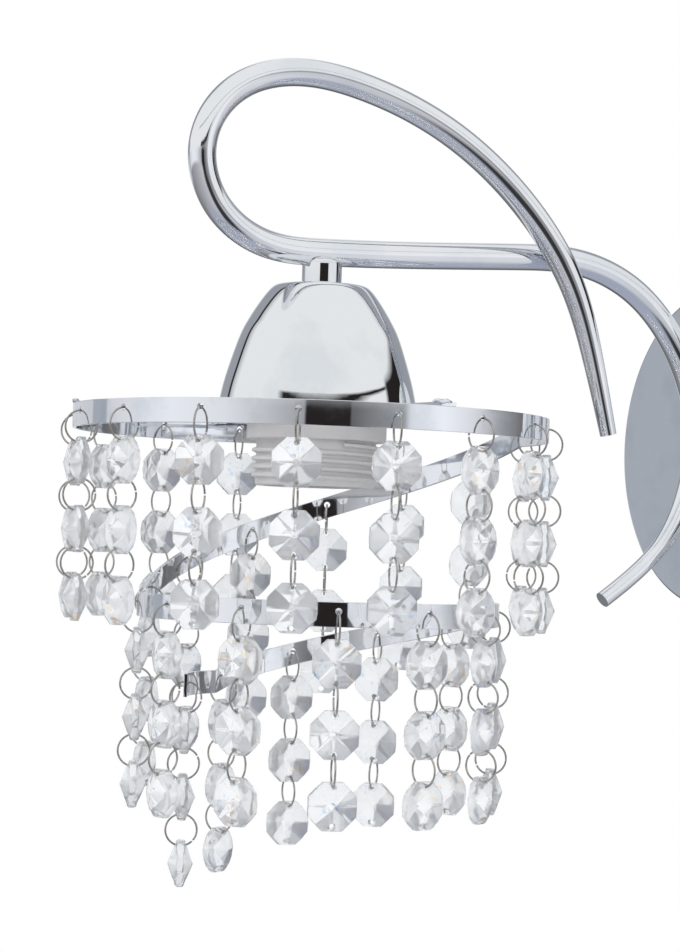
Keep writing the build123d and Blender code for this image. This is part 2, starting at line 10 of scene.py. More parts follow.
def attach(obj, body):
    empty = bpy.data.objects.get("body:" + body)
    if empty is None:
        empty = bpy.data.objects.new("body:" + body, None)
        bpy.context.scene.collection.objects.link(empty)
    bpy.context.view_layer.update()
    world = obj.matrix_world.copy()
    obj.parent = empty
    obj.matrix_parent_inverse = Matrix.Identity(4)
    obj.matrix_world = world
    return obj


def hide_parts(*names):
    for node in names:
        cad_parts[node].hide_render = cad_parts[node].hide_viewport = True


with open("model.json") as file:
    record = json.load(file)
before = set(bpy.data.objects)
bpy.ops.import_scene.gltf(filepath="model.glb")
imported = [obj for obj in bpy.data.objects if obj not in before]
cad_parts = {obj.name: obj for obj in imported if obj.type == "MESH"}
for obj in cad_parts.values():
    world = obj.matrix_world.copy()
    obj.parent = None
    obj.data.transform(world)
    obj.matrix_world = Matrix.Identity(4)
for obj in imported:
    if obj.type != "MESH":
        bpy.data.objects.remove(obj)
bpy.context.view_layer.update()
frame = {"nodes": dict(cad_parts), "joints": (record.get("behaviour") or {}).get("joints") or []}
random.seed(7)
fixedBody = "sconce"
lampAxis = Vector((0, -0.1677, 0))
print("frame loaded:", len(frame["nodes"]), "nodes")


class Signal:                            # one node output, adds its own maths nodes
    def __init__(self, tree, socket=None):
        self.tree = tree
        self.socket = socket

    def node(self, kind, settings, sockets, out=0):
        made = self.tree.nodes.new(kind)
        for name, value in settings.items():
            if name == "stops":
                steps = made.color_ramp.elements
                steps.remove(steps[1])
                steps[0].position = value[0][0]
                for place, colour in value:
                    step = steps[0] if place == value[0][0] else steps.new(place)
                    step.color = (*colour, 1)
            else:
                setattr(made, name, value)
        for name, value in sockets.items():
            if isinstance(value, Signal):
                self.tree.links.new(value.socket, made.inputs[name])
            else:
                made.inputs[name].default_value = value
        return Signal(self.tree, made.outputs[out])

    def maths(self, operation, first, second=0.0, clamp=False):
        return self.node("ShaderNodeMath", {"operation": operation, "use_clamp": clamp},
                         {0: first, 1: second})

    def __add__(self, other):
        return self.maths("ADD", self, other)

    def __sub__(self, other):
        return self.maths("SUBTRACT", self, other)

    def __rsub__(self, other):
        return self.maths("SUBTRACT", other, self)

    def __mul__(self, other):
        return self.maths("MULTIPLY", self, other)

    __radd__ = __add__
    __rmul__ = __mul__

    def clamp(self):
        return self.maths("ADD", self, 0.0, True)

    def axis(self, index):
        return self.node("ShaderNodeSeparateXYZ", {}, {0: self}, index)

    def noise(self, scale, detail=2.0, rough=0.5):
        return self.node("ShaderNodeTexNoise", {},
                         {"Vector": self, "Scale": scale, "Detail": detail, "Roughness": rough})

    def above(self, low, soft):          # 1 above low, 0 below it, soft at the edge
        return self.maths("MULTIPLY", self - (low - soft / 2), 1 / soft, True)

    def below(self, high, soft):         # 1 below high, 0 above it
        return self.maths("MULTIPLY", (high + soft / 2) - self, 1 / soft, True)

    def band(self, low, high, soft):     # 1 between low and high, soft at both edges
        return self.above(low, soft) * self.below(high, soft)

    def blend(self, first, second):      # this signal is the share of the second colour
        made = self.tree.nodes.new("ShaderNodeMix")
        made.data_type = "RGBA"
        self.tree.links.new(self.socket, made.inputs[0])
        for place, value in ((6, first), (7, second)):   # a mix node's two colour sockets
            if isinstance(value, Signal):
                self.tree.links.new(value.socket, made.inputs[place])
            else:
                made.inputs[place].default_value = (*value, 1)
        return Signal(self.tree, made.outputs[2])

    def bump(self, height, depth):
        return self.node("ShaderNodeBump", {}, {"Height": height, "Distance": depth, "Strength": 1.0})


def finish(name, fixed, paint):
    made = bpy.data.materials.new(name)
    made.use_nodes = True
    tree = made.node_tree
    shader = tree.nodes["Principled BSDF"]
    for socket, value in fixed.items():
        shader.inputs[socket].default_value = value
    place = Signal(tree).node("ShaderNodeTexCoord", {}, {}, "Object")
    for socket, signal in paint(place).items():
        tree.links.new(signal.socket, shader.inputs[socket])
    return made


# plated and moulded finishes: two tones, patches per metre, roughness and its spread, fine grain, its depth
chromePlate = {"light": (0.86, 0.87, 0.89), "dull": (0.78, 0.80, 0.83), "smudge": 38.0,
               "rough": 0.012, "roughSpread": 0.03, "ripple": 260.0, "rippleDepth": 0.0000015}
platingPatch = {"from": (0.56, 0.14), "detail": 4.0, "broken": 0.6, "fineness": 9}


def chromePaint(look):
    def paint(place):
        smudge = place.noise(look["smudge"], platingPatch["detail"], platingPatch["broken"])
        fine = place.noise(look["smudge"] * platingPatch["fineness"])
        patch = smudge.above(*platingPatch["from"])
        return {
            "Base Color": patch.blend(look["light"], look["dull"]),
            "Roughness": look["rough"] + look["roughSpread"] * patch * fine,
            "Normal": place.bump(place.noise(look["ripple"], 1.0), look["rippleDepth"]),
        }
    return paint


chrome = finish("chromePlate", {"Metallic": 1.0}, chromePaint(chromePlate))

tubePlate = {"light": (0.86, 0.87, 0.895), "dull": (0.79, 0.81, 0.845), "smudge": 30.0,
             "rough": 0.07, "roughSpread": 0.04, "ripple": 260.0, "rippleDepth": 0.0000015}
tubeChrome = finish("tubePlate", {"Metallic": 1.0}, chromePaint(tubePlate))

stripPlate = {"light": (0.84, 0.855, 0.88), "dull": (0.74, 0.765, 0.80), "smudge": 60.0,
              "rough": 0.03, "roughSpread": 0.09, "ripple": 120.0, "rippleDepth": 0.000012}
stripChrome = finish("stripPlate", {"Metallic": 1.0}, chromePaint(stripPlate))

ringWire = {"light": (0.52, 0.50, 0.47), "dull": (0.34, 0.33, 0.31), "smudge": 240.0,
            "rough": 0.16, "roughSpread": 0.2, "ripple": 900.0, "rippleDepth": 0.00001}
wireSteel = finish("ringWire", {"Metallic": 1.0}, chromePaint(ringWire))

zincBracket = {"light": (0.62, 0.63, 0.64), "dull": (0.45, 0.47, 0.49), "smudge": 180.0,
               "rough": 0.28, "roughSpread": 0.3, "ripple": 700.0, "rippleDepth": 0.00003}
zinc = finish("zincBracket", {"Metallic": 1.0}, chromePaint(zincBracket))

brassFitting = {"light": (0.80, 0.62, 0.30), "dull": (0.55, 0.40, 0.18), "smudge": 150.0,
                "rough": 0.2, "roughSpread": 0.3, "ripple": 600.0, "rippleDepth": 0.00002}
brass = finish("brassFitting", {"Metallic": 1.0}, chromePaint(brassFitting))

nickelShell = {"light": (0.72, 0.70, 0.66), "dull": (0.55, 0.53, 0.50), "smudge": 130.0,
               "rough": 0.16, "roughSpread": 0.2, "ripple": 500.0, "rippleDepth": 0.00002}
nickel = finish("nickelShell", {"Metallic": 1.0}, chromePaint(nickelShell))

holderPlastic = {"light": (0.74, 0.73, 0.735), "shade": (0.67, 0.66, 0.665), "cloud": 55.0,
                 "rough": 0.36, "roughSpread": 0.16, "grain": 1400.0, "grainDepth": 0.00003}
terminalPlastic = {"light": (0.80, 0.80, 0.77), "shade": (0.70, 0.70, 0.67), "cloud": 120.0,
                   "rough": 0.4, "roughSpread": 0.15, "grain": 1600.0, "grainDepth": 0.00002}
glazedCeramic = {"light": (0.82, 0.80, 0.75), "shade": (0.68, 0.66, 0.61), "cloud": 240.0,
                 "rough": 0.55, "roughSpread": 0.25, "grain": 1100.0, "grainDepth": 0.00005}
brownSleeve = {"light": (0.20, 0.10, 0.05), "shade": (0.13, 0.06, 0.03), "cloud": 220.0,
               "rough": 0.45, "roughSpread": 0.15, "grain": 1500.0, "grainDepth": 0.00002}
blueSleeve = {"light": (0.05, 0.16, 0.42), "shade": (0.03, 0.10, 0.30), "cloud": 220.0,
              "rough": 0.45, "roughSpread": 0.15, "grain": 1500.0, "grainDepth": 0.00002}
mouldedCloud = {"from": (0.5, 0.3), "detail": 3.0, "broken": 0.55}


def mouldedPaint(look):
    def paint(place):
        cloud = place.noise(look["cloud"], mouldedCloud["detail"], mouldedCloud["broken"])
        grain = place.noise(look["grain"])
        return {
            "Base Color": cloud.above(*mouldedCloud["from"]).blend(look["light"], look["shade"]),
            "Roughness": look["rough"] + look["roughSpread"] * grain,
            "Normal": place.bump(grain, look["grainDepth"]),
        }
    return paint


mouldedFixed = {"Specular IOR Level": 0.4}
plastic = finish("holderPlastic", mouldedFixed, mouldedPaint(holderPlastic))
terminalWhite = finish("terminalPlastic", mouldedFixed, mouldedPaint(terminalPlastic))
ceramic = finish("glazedCeramic", mouldedFixed, mouldedPaint(glazedCeramic))
leadBrown = finish("brownSleeve", mouldedFixed, mouldedPaint(brownSleeve))
leadBlue = finish("blueSleeve", mouldedFixed, mouldedPaint(blueSleeve))

earthSleeve = {"green": (0.05, 0.30, 0.07), "yellow": (0.75, 0.62, 0.06), "pitch": 0.0032,
               "yellowBand": (0.0, 0.5, 0.06), "rough": 0.42, "roughSpread": 0.16,
               "grain": 1500.0, "grainDepth": 0.00002}


def earthPaint(place):                   # green and yellow bands slanting across the lead
    turn = (place.axis(0) + place.axis(2)) * (1 / earthSleeve["pitch"])
    wave = turn.maths("FRACT", turn)
    grain = place.noise(earthSleeve["grain"])
    yellow = wave.band(*earthSleeve["yellowBand"])
    return {
        "Base Color": yellow.blend(earthSleeve["green"], earthSleeve["yellow"]),
        "Roughness": earthSleeve["rough"] + earthSleeve["roughSpread"] * grain,
        "Normal": place.bump(grain, earthSleeve["grainDepth"]),
    }


leadEarth = finish("earthSleeve", mouldedFixed, earthPaint)

cutGlass = {
    "clear": (0.975, 0.985, 1.0), "polish": 900.0, "polishDepth": 0.000001,
    # the cool and warm flecks are painted rainbow glints tinting the glass's base colour
    "coolGlint": {"tint": (0.55, 0.72, 1.0), "patch": 82.5, "patchFrom": (0.70, 0.05),
             "fleck": 620.0, "detail": 1.0, "fleckFrom": (0.65, 0.08)},
    "warmGlint": {"tint": (1.0, 0.79, 0.58), "patch": 75.0, "patchFrom": (0.69, 0.05),
             "fleck": 434.0, "detail": 0.0, "fleckFrom": (0.69, 0.08)},
}


def glassPaint(place):                   # clear, with rare cool and warm flecks of painted rainbow glint in the base colour
    colour = cutGlass["clear"]
    for look in (cutGlass["coolGlint"], cutGlass["warmGlint"]):
        patch = place.noise(look["patch"], 0.0).above(*look["patchFrom"])
        fleck = place.noise(look["fleck"], look["detail"]).above(*look["fleckFrom"])
        colour = (patch * fleck).blend(colour, look["tint"])
    return {
        "Base Color": colour,
        "Normal": place.bump(place.noise(cutGlass["polish"]), cutGlass["polishDepth"]),
    }


glass = finish("cutGlass", {"Transmission Weight": 0.74, "IOR": 1.52, "Roughness": 0.015}, glassPaint)
print("finishes made")


def deselect():
    bpy.ops.object.select_all(action="DESELECT")


def only(piece):
    deselect()
    piece.select_set(True)
    bpy.context.view_layer.objects.active = piece


def edit(piece):
    only(piece)
    bpy.ops.object.mode_set(mode="EDIT")


def closeEdit():
    bpy.ops.object.mode_set(mode="OBJECT")


def pickFaces(piece, test):              # selects the faces that pass the test, in edit mode
    bpy.ops.mesh.select_all(action="DESELECT")
    bpy.ops.mesh.select_mode(type="FACE")
    closeEdit()
    for face in piece.data.polygons:
        face.select = test(face)
    bpy.ops.object.mode_set(mode="EDIT")


def tidyMesh(piece, smoothAngle=30.0, merge=0.000005):
    edit(piece)
    bpy.ops.mesh.select_all(action="SELECT")
    bpy.ops.mesh.remove_doubles(threshold=merge)
    bpy.ops.mesh.normals_make_consistent(inside=False)
    closeEdit()
    bpy.ops.object.transform_apply(location=True, rotation=True, scale=True)
    evenNormals(piece, smoothAngle)


def evenNormals(piece, smoothAngle):     # large flat faces keep their own direction up to a rounded edge
    only(piece)
    bpy.ops.object.shade_smooth_by_angle(angle=radians(smoothAngle))
    applyModifier(piece, "WEIGHTED_NORMAL", keep_sharp=True, weight=50)


def dress(piece, name, material, body=fixedBody, nodes=()):
    piece.name = name
    piece.data.name = name
    piece.data.materials.clear()
    piece.data.materials.append(material)
    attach(piece, body)
    if nodes:
        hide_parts(*nodes)
    return piece


def applyModifier(piece, kind, **settings):
    only(piece)
    made = piece.modifiers.new(kind.title(), kind)
    for name, value in settings.items():
        setattr(made, name, value)
    bpy.ops.object.modifier_apply(modifier=made.name)


def cutWith(piece, cutter):
    applyModifier(piece, "BOOLEAN", object=cutter, solver="EXACT")
    bpy.data.objects.remove(cutter)


def joined(parts):
    only(parts[0])
    for part in parts:
        part.select_set(True)
    bpy.ops.object.join()
    return bpy.context.object


def copyTo(master, place):
    made = bpy.data.objects.new(master.name, master.data.copy())
    made.data.transform(place)
    bpy.context.scene.collection.objects.link(made)
    return made


def lathe(profile, centre, segments, axis=2):
    # profile is radius and height along the axis, ring after ring
    turnOver = (0, 0, 0) if axis == 2 else (pi / 2, 0, 0)
    start = Vector((0, 0, 0))
    start[axis] = profile[0][1]
    deselect()
    bpy.ops.mesh.primitive_circle_add(vertices=segments, radius=profile[0][0],
                                      location=start, rotation=turnOver)
    piece = bpy.context.object
    bpy.ops.object.mode_set(mode="EDIT")
    bpy.ops.mesh.select_mode(type="VERT")
    bpy.ops.mesh.select_all(action="SELECT")
    for (radius, height), (nextRadius, nextHeight) in zip(profile, profile[1:]):
        move = Vector((0, 0, 0))
        move[axis] = nextHeight - height
        grow = [nextRadius / radius] * 3
        grow[axis] = 1
        bpy.ops.mesh.extrude_region_move(TRANSFORM_OT_translate={"value": move})
        bpy.ops.transform.resize(value=grow, center_override=(0, 0, 0))
    closeEdit()
    piece.location += centre
    return piece


def quarterRound(radius):                # points of a rounded edge, from its side to its top
    return [(radius * cos(radians(a)), radius * sin(radians(a))) for a in range(0, 91, 15)]


def curveShares(t):                      # of the near point and slope, then of the far ones
    return (2 * t ** 3 - 3 * t ** 2 + 1, t ** 3 - 2 * t ** 2 + t,
            3 * t ** 2 - 2 * t ** 3, t ** 3 - t ** 2)


def curveThrough(points, steps):         # even curve through the given outline points
    count = len(points)
    slopes = []
    for i in range(count):
        before, after = points[max(i - 1, 0)], points[min(i + 1, count - 1)]
        slopes.append([(b - a) / 2 for a, b in zip(before, after)])
    made = [points[0]]
    for i in range(count - 1):
        for step in range(1, steps + 1):
            h = curveShares(step / steps)
            made.append(tuple(h[0] * a + h[1] * m + h[2] * b + h[3] * n for a, m, b, n in
                              zip(points[i], slopes[i], points[i + 1], slopes[i + 1])))
    return made


photoCamera = {"azimuth": 63.67, "elevation": -1.58, "roll": 1.9, "distance": 0.7667,
               "sideways": 0.007234, "upward": -0.01211, "aim": (0, -0.1677, -0.0033), "lens": 94.35}


def setCamera(look):
    turn, lift, lean = (radians(look[k]) for k in ("azimuth", "elevation", "roll"))
    back = Vector((sin(turn) * cos(lift), -cos(turn) * cos(lift), sin(lift)))
    right = Vector((cos(turn), sin(turn), 0))
    up = back.cross(right)
    right, up = right * cos(lean) + up * sin(lean), up * cos(lean) - right * sin(lean)
    camera = bpy.data.cameras.new("photoCamera")
    camera.lens = look["lens"]
    camera.clip_start, camera.clip_end = 0.05, 20.0
    holder = bpy.data.objects.new("photoCamera", camera)
    bpy.context.scene.collection.objects.link(holder)
    turned = Matrix((right, up, back)).transposed().to_4x4()
    spot = Vector(look["aim"]) + back * look["distance"] + right * look["sideways"] + up * look["upward"]
    holder.matrix_world = Matrix.Translation(spot) @ turned
    bpy.context.scene.camera = holder


setCamera(photoCamera)
print("camera set")


canopy = {"radius": 0.0532, "depth": 0.022, "wall": 0.0012, "edge": 0.0012, "hole": 0.0051,
          "screwY": -0.009, "screwRadius": 0.0022, "screwReach": 0.2, "faceShare": 0.6}


def makeCanopy(look):
    radius, depth, wall, edge = (look[k] for k in ("radius", "depth", "wall", "edge"))
    facing = radius * look["faceShare"]
    rounded = [(radius - edge + x, -(depth - edge) - y) for x, y in quarterRound(edge)]
    profile = ([(radius - wall, 0.0), (radius, 0.0)] + rounded
               + [(facing, -depth), (look["hole"], -depth), (look["hole"], -depth + wall),
                  (facing, -depth + wall), (radius - wall, -depth + wall), (radius - wall, 0.0)])
    piece = lathe(profile, Vector((0, 0, 0)), segments=160, axis=1)
    tidyMesh(piece)
    deselect()
    bpy.ops.mesh.primitive_cylinder_add(vertices=32, radius=look["screwRadius"], depth=look["screwReach"],
                                        location=(0, look["screwY"], 0), rotation=(0, pi / 2, 0))
    cutWith(piece, bpy.context.object)
    evenNormals(piece, 30)
    return dress(piece, "canopyShell", chrome, nodes=["wall_canopy"])


makeCanopy(canopy)
print("canopy made")


armTube = {"radius": 0.0043, "wall": 0.0009, "endRadius": 0.0027, "taper": 0.058, "bore": 0.010,
           "tailFrom": 0.014, "tailTaper": 0.024, "steps": 14, "around": 12, "face": -0.022,
           "capReach": 0.004}
armRoute = [                             # X, Y from the canopy's face, Z; millimetres
    (11.0, -47.1, 1.8), (11.0, -53.5, 24.9), (10.5, -62.7, 50.0), (9.0, -80.8, 74.4),
    (7.0, -109.2, 95.2), (5.2, -136.5, 105.1), (3.8, -159.8, 107.1), (2.3, -178.3, 99.8),
    (1.2, -187.3, 84.0), (0.4, -182.5, 66.0), (0.0, -165.9, 54.9), (0.0, -145.7, 53.5),
    (0.0, -111.3, 55.3), (0.0, -75.0, 57.8), (0.0, -56.0, 58.0), (0.0, -32.5, 50.3),
    (0.0, -14.0, 31.0), (0.0, -5.3, 0.0), (0.0, -17.5, -31.9), (0.0, -40.5, -51.4),
]
bossKnot = 17                            # the route's point on the boss


def smoothSlopes(points, spans):         # tangents of the evenly bent curve through the points
    slopes = [Vector((0, 0, 0)) for _ in points]
    last = len(points) - 1
    for _ in range(120):                 # more rounds than it needs to settle
        slopes[0] = (3 * (points[1] - points[0]) / spans[0] - slopes[1]) / 2
        slopes[last] = (3 * (points[last] - points[last - 1]) / spans[-1] - slopes[last - 1]) / 2
        for i in range(1, last):
            near, far = 1 / spans[i - 1], 1 / spans[i]
            pull = 3 * ((points[i] - points[i - 1]) * near ** 2 + (points[i + 1] - points[i]) * far ** 2)
            slopes[i] = (pull - slopes[i - 1] * near - slopes[i + 1] * far) / (2 * (near + far))
    return slopes


def makeArm(look, route):
    points = [Vector((x / 1000, look["face"] + y / 1000, z / 1000)) for x, y, z in route]
    spans = [(b - a).length for a, b in zip(points, points[1:])]
    slopes = smoothSlopes(points, spans)
    steps = look["steps"]
    centres = []
    for i, span in enumerate(spans):
        a, b = points[i], points[i + 1]
        m, n = slopes[i] * span, slopes[i + 1] * span
        for step in range(steps):
            h = curveShares(step / steps)
            centres.append(a * h[0] + m * h[1] + b * h[2] + n * h[3])
    centres.append(points[-1])
    lengths = [0.0]
    for a, b in zip(centres, centres[1:]):
        lengths.append(lengths[-1] + (b - a).length)
    tailStart = lengths[bossKnot * steps] + look["tailFrom"]
    full, thin = look["radius"], look["endRadius"]
    deselect()
    bpy.ops.curve.primitive_bezier_curve_add(location=(0, 0, 0))
    holder = bpy.context.object
    curve = holder.data
    curve.splines.clear()
    spline = curve.splines.new("POLY")
    spline.points.add(len(centres) - 1)
    for point, centre, along in zip(spline.points, centres, lengths):
        head = min(along / look["taper"], 1.0)
        tail = 1 - min(max((along - tailStart) / look["tailTaper"], 0.0), 1.0)
        point.co = (*centre, 1)
        point.radius = (thin + (full - thin) * min(head, tail)) / full
    curve.twist_mode = "MINIMUM"
    curve.bevel_depth = full
    curve.bevel_resolution = look["around"]
    curve.use_fill_caps = True
    only(holder)
    bpy.ops.object.convert(target="MESH")
    piece = bpy.context.object
    edit(piece)
    pickFaces(piece, lambda face: len(face.vertices) > 4)
    bpy.ops.mesh.inset(thickness=look["wall"])
    bpy.ops.mesh.extrude_region_move(TRANSFORM_OT_translate={"value": (0, 0, 0)})
    closeEdit()
    # the floor of each open end is pushed in along the tube's own line
    for end, inward in ((0, centres[4] - centres[0]), (-1, centres[-5] - centres[-1])):
        push = inward.normalized() * look["bore"]
        edit(piece)
        pickFaces(piece, lambda face: len(face.vertices) > 4
                  and (face.center - centres[end]).length < look["capReach"])
        bpy.ops.transform.translate(value=push)
        closeEdit()
    tidyMesh(piece, merge=0.000001)
    return dress(piece, "armTube", tubeChrome, nodes=["arm_tube"])


makeArm(armTube, armRoute)
print("arm made")


lampPost = {"radius": 0.00615, "bottom": 0.0433, "top": 0.0518, "round": 0.0022, "bore": 0.0029,
            "edge": 0.0003}


def makePost(look):
    radius, top, rounding = look["radius"], look["top"], look["round"]
    shoulder = [(radius - rounding + x, top - rounding + y) for x, y in quarterRound(rounding)]
    profile = ([(look["bore"], look["bottom"]), (radius - look["edge"], look["bottom"]),
                (radius, look["bottom"] + look["edge"])] + shoulder
               + [(look["bore"], top), (look["bore"], look["bottom"])])
    piece = lathe(profile, lampAxis, segments=72)
    tidyMesh(piece)
    return dress(piece, "lampPost", chrome, nodes=["lamp_post"])


makePost(lampPost)


bell = {"top": 0.0433, "wall": 0.0008, "neck": 0.0051, "flat": 0.0122, "steps": 5,
        "outline": [                     # radius and height in millimetres
            (12.4, 43.3), (14.9, 42.4), (18.0, 38.7), (21.9, 32.5), (24.8, 26.4), (28.7, 14.1), (30.6, 5.4)]}


def makeBell(look):
    outer = [(r / 1000, z / 1000) for r, z in curveThrough(look["outline"], look["steps"])]
    wall = look["wall"]
    inner = [(r - wall, z - wall) for r, z in outer]
    inner[-1] = (inner[-1][0], outer[-1][1])
    profile = ([(look["neck"], look["top"]), (look["flat"], look["top"])] + outer + inner[::-1]
               + [(look["neck"], look["top"] - wall), (look["neck"], look["top"])])
    piece = lathe(profile, lampAxis, segments=160)
    tidyMesh(piece, smoothAngle=40)
    return dress(piece, "bellCup", chrome, nodes=["bell_cup"])


makeBell(bell)
print("post and bell made")


lampholderCap = {"flange": 0.0215, "flangeTop": 0.0039, "flangeBottom": -0.0047, "cap": 0.018,
                 "bore": 0.0158, "edge": 0.0003, "top": 0.037, "straightTop": 0.020, "slope": 0.013,
                 "slopeDrop": 0.003, "neck": 0.009, "nippleHole": 0.00505, "tunnel": 0.008,
                 "tunnelTop": 0.0315, "cavityTop": 0.024}
holderSkirt = {"root": 0.0184, "crest": 0.01965, "top": -0.0047, "bottom": -0.0188, "bore": 0.0156,
               "threadTop": -0.0052, "pitch": 0.00252, "turns": 4.2, "steps": 72, "tooth": 0.0021,
               "edge": 0.0004, "sink": 0.0003, "crestShare": 0.38}


def makeHolderCap(look):
    bore, flange, cap, edge = (look[k] for k in ("bore", "flange", "cap", "edge"))
    low, high, top = look["flangeBottom"], look["flangeTop"], look["top"]
    hole, tunnel, cavityTop = look["nippleHole"], look["tunnel"], look["cavityTop"]
    outside = [(bore, low), (flange - edge, low), (flange, low + edge), (flange, high - edge),
               (flange - edge, high), (cap, high), (cap, look["straightTop"]),
               (look["slope"], top - look["slopeDrop"]), (look["neck"], top)]
    inside = [(hole, top), (hole, look["tunnelTop"]), (tunnel, look["tunnelTop"]),
              (tunnel, cavityTop), (bore, cavityTop), (bore, low)]
    profile = outside + inside
    piece = lathe(profile, lampAxis, segments=120)
    tidyMesh(piece)
    return dress(piece, "holderCap", plastic, nodes=["lampholder_cap"])


def makeSkirt(look):
    bore, root, crest, edge = (look[k] for k in ("bore", "root", "crest", "edge"))
    low, high = look["bottom"], look["top"]
    profile = [(bore, low), (root - edge, low), (root, low + edge), (root, high), (bore, high), (bore, low)]
    body = lathe(profile, lampAxis, segments=120)
    tidyMesh(body)
    deselect()                           # one tooth's outline, wound down by the screw modifier
    bpy.ops.mesh.primitive_plane_add(size=1, location=lampAxis, rotation=(pi / 2, 0, 0))
    tooth = bpy.context.object
    bpy.ops.object.transform_apply(location=True, rotation=True, scale=True)
    half = look["tooth"] / 2
    foot, tip = root - look["sink"], half * look["crestShare"]
    corners = {(-1, -1): (foot, -half), (1, -1): (crest, -tip),
               (1, 1): (crest, tip), (-1, 1): (foot, half)}
    for vertex in tooth.data.vertices:
        side = (1 if vertex.co.x > lampAxis.x else -1, 1 if vertex.co.z > 0 else -1)
        reach, rise = corners[side]
        vertex.co = (reach, 0, look["threadTop"] - half + rise)
    edit(tooth)
    pickFaces(tooth, lambda face: True)
    bpy.ops.mesh.delete(type="ONLY_FACE")
    closeEdit()
    steps = int(look["steps"] * look["turns"])
    applyModifier(tooth, "SCREW", axis="Z", angle=2 * pi * look["turns"], steps=steps, render_steps=steps,
                  screw_offset=-look["pitch"] * look["turns"], use_merge_vertices=True)
    edit(tooth)
    bpy.ops.mesh.select_all(action="DESELECT")
    bpy.ops.mesh.select_mode(type="EDGE")
    bpy.ops.mesh.select_non_manifold()
    bpy.ops.mesh.fill()
    bpy.ops.mesh.select_all(action="SELECT")
    bpy.ops.transform.translate(value=lampAxis)
    closeEdit()
    piece = joined([body, tooth])
    tidyMesh(piece, merge=0.000001)
    return dress(piece, "holderSkirt", plastic, nodes=["lampholder_skirt"])


makeHolderCap(lampholderCap)
makeSkirt(holderSkirt)
print("lampholder made")


strip = {"level": -0.0033, "height": 0.0072, "thickness": 0.0012, "start": -191.3, "hole": 0.0010,
         "cutReach": 0.006, "segments": 420, "edge": 0.00018}
stripCorners = [                         # turn in degrees, radius, shift along Y, drop; millimetres
    (0.0, 72.3, -1.9, 0.0), (278.4, 72.3, -1.9, 0.0), (147.1, 55.0, 2.5, 56.5),
    (208.5, 55.0, 2.5, 56.5), (123.0, 37.5, 0.0, 81.0), (43.0, 37.5, 0.0, 81.0),
]


def stripPoint(turned, up):
    begin = 0.0
    for before, after in zip(stripCorners, stripCorners[1:]):
        part = (turned - begin) / after[0]
        if part <= 1.0 or after is stripCorners[-1]:
            break
        begin += after[0]
    radius, shift, drop = (b + (a - b) * part for b, a in zip(before[1:], after[1:]))
    angle = radians(strip["start"] + turned)
    return Vector((radius * cos(angle) / 1000, lampAxis.y + (shift + radius * sin(angle)) / 1000,
                   strip["level"] - drop / 1000 + up))


def makeStrip(look):
    total = sum(corner[0] for corner in stripCorners)
    deselect()
    bpy.ops.mesh.primitive_grid_add(x_subdivisions=look["segments"], y_subdivisions=1, size=2)
    piece = bpy.context.object
    for vertex in piece.data.vertices:   # the grid runs from -1 to 1 both ways
        turned = total * (vertex.co.x + 1) / 2
        vertex.co = stripPoint(turned, look["height"] * (vertex.co.y + 1) / 2)
    applyModifier(piece, "SOLIDIFY", thickness=look["thickness"], offset=0.0, use_even_offset=True)
    applyModifier(piece, "BEVEL", width=look["edge"], segments=2, limit_method="ANGLE",
                  angle_limit=radians(50))
    cutters = []
    for joint in frame["joints"]:
        across = Vector(joint["axis"]).cross(Vector((0, 0, 1)))
        deselect()
        bpy.ops.mesh.primitive_cylinder_add(vertices=24, radius=look["hole"], depth=look["cutReach"],
                                            location=joint["pos_m"])
        cutter = bpy.context.object
        cutter.rotation_mode = "QUATERNION"
        cutter.rotation_quaternion = across.to_track_quat("Z", "Y")
        cutters.append(cutter)
    cutWith(piece, joined(cutters))
    tidyMesh(piece, smoothAngle=25)
    return dress(piece, "spiralStrip", stripChrome, nodes=["spiral_strip"])


makeStrip(strip)
print("strip made")


# a weld bead where each of the spider's spokes meets the strip
weldBead = {"angles": (5.0, 125.0, 245.0), "size": (0.0034, 0.0011, 0.0008), "radius": 0.0723,
            "shift": -0.0019, "level": 0.0051, "waves": (2100, 1900), "waveDepth": 0.0002}


def makeWelds(look):
    beads = []
    radius, centreY = look["radius"], lampAxis.y + look["shift"]
    acrossWave, alongWave = look["waves"]
    for angle in look["angles"]:
        turn = radians(angle)
        spot = (radius * cos(turn), centreY + radius * sin(turn), look["level"])
        deselect()
        bpy.ops.mesh.primitive_uv_sphere_add(segments=24, ring_count=12, radius=1.0,
                                             location=spot, rotation=(0, 0, turn + pi / 2))
        bead = bpy.context.object
        bead.scale = look["size"]
        bpy.ops.object.transform_apply(location=True, rotation=True, scale=True)
        for vertex in bead.data.vertices:   # an uneven run of weld
            wobble = sin(vertex.co.x * acrossWave) * cos(vertex.co.y * alongWave)
            vertex.co.z += look["waveDepth"] * wobble
        beads.append(bead)
    piece = joined(beads)
    tidyMesh(piece, smoothAngle=60)
    return dress(piece, "weldBeads", stripChrome)


makeWelds(weldBead)
print("welds made")


crystal = {"flats": 0.014, "apex": 0.008, "corner": 0.0016, "holes": 0.011, "holeRadius": 0.0009,
           "ridge": 0.00009, "perStrand": 3, "cutReach": 0.02}
wireRing = {"radius": 0.004825, "wire": 0.0003, "seat": 0.00019, "around": 44, "section": 10, "cut": 5.0}
strandTwist = {"whole": 9.0, "each": 3.0, "ring": 60.0}   # most turn either way, degrees


